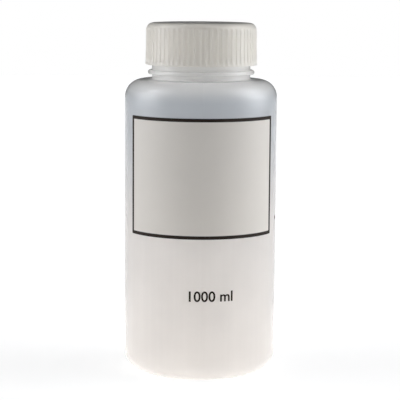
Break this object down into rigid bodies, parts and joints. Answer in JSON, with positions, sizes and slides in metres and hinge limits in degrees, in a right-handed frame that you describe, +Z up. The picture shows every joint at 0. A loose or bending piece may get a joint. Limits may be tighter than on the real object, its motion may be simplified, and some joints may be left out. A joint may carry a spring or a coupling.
{
  "type": "wide-mouth storage bottle",
  "caption": "Round wide-mouth plastic bottle with a ribbed screw cap, a foam liner and a printed panel to write on.",
  "frame": {"origin": "centre of the ring that the bottle stands on, on the plane it stands on", "axes": "+Z up along the bottle's axis; the printed panel faces -Y; the mould's parting plane is the YZ plane"},
  "size_m": [0.091, 0.0912, 0.2094],
  "materials": {
    "bottle_plastic": "translucent low-density polyethylene, blow-moulded, satin",
    "cap_plastic": "milky translucent polypropylene, injection-moulded, satin",
    "liner_foam": "white closed-cell polyethylene foam, matt",
    "panel_ink": "screen-printed matt white ink to write on",
    "border_ink": "screen-printed dark brown ink, satin"
  },
  "bodies": {
    "bottle": {"bottle": "bottle_plastic", "writing_panel": "panel_ink", "panel_border": "border_ink"},
    "cap_liner": {"cap_liner": "liner_foam"},
    "cap": {"cap": "cap_plastic"}
  },
  "joints": [
    {"name": "cap_lift", "type": "slide", "parent": "bottle", "child": "cap_liner", "axis": [0, 0, 1], "range_m": [0, 0.0255]},
    {"name": "cap_turn", "type": "hinge", "parent": "cap_liner", "child": "cap", "pos_m": [0, 0, 0.2], "axis": [0, 0, 1], "range_deg": [0, 1530]}
  ],
  "couplings": [
    {"joint": "cap_lift", "follows": "cap_turn", "m_per_rad": 0.00095493}
  ]
}
